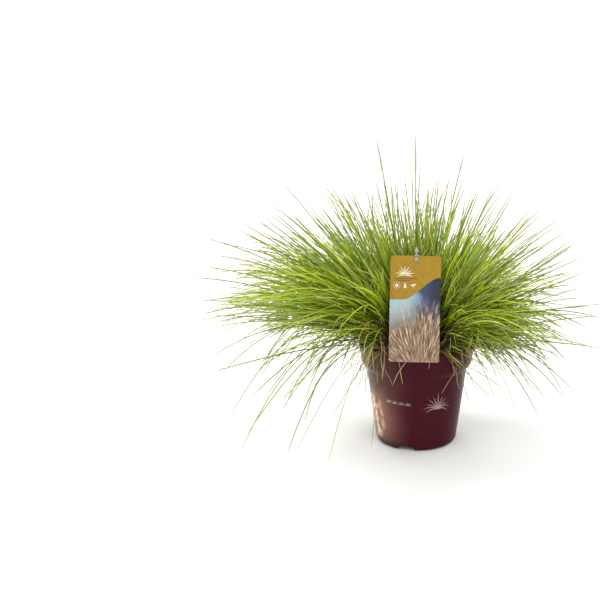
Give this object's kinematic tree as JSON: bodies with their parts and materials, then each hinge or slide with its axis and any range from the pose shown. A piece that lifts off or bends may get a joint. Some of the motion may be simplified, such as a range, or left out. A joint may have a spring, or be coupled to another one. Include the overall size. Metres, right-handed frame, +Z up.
{
  "type": "potted ornamental grass",
  "caption": "Mop-headed tuft of fine arching grass blades in a round tapered nursery pot with a stepped collar, soil, thatch and a hanging label card on a stake.",
  "frame": {"origin": "on the pot's axis, at the level of the surface that the pot stands on", "axes": "+Z up; -Y is the front, where the label card hangs; +X to the right of it"},
  "size_m": [0.46, 0.426, 0.339],
  "materials": {
    "pot_plastic": "satin",
    "soil": "matte",
    "grass": "satin",
    "dry_grass": "matte",
    "label_print": "satin",
    "stake_plastic": "satin"
  },
  "bodies": {
    "root": {"pot": "pot_plastic", "potting_soil": "soil", "grass_heart": "grass", "grass_skirt": "grass", "thatch": "dry_grass", "label_card": "label_print", "label_stake": "stake_plastic"}
  },
  "joints": []
}
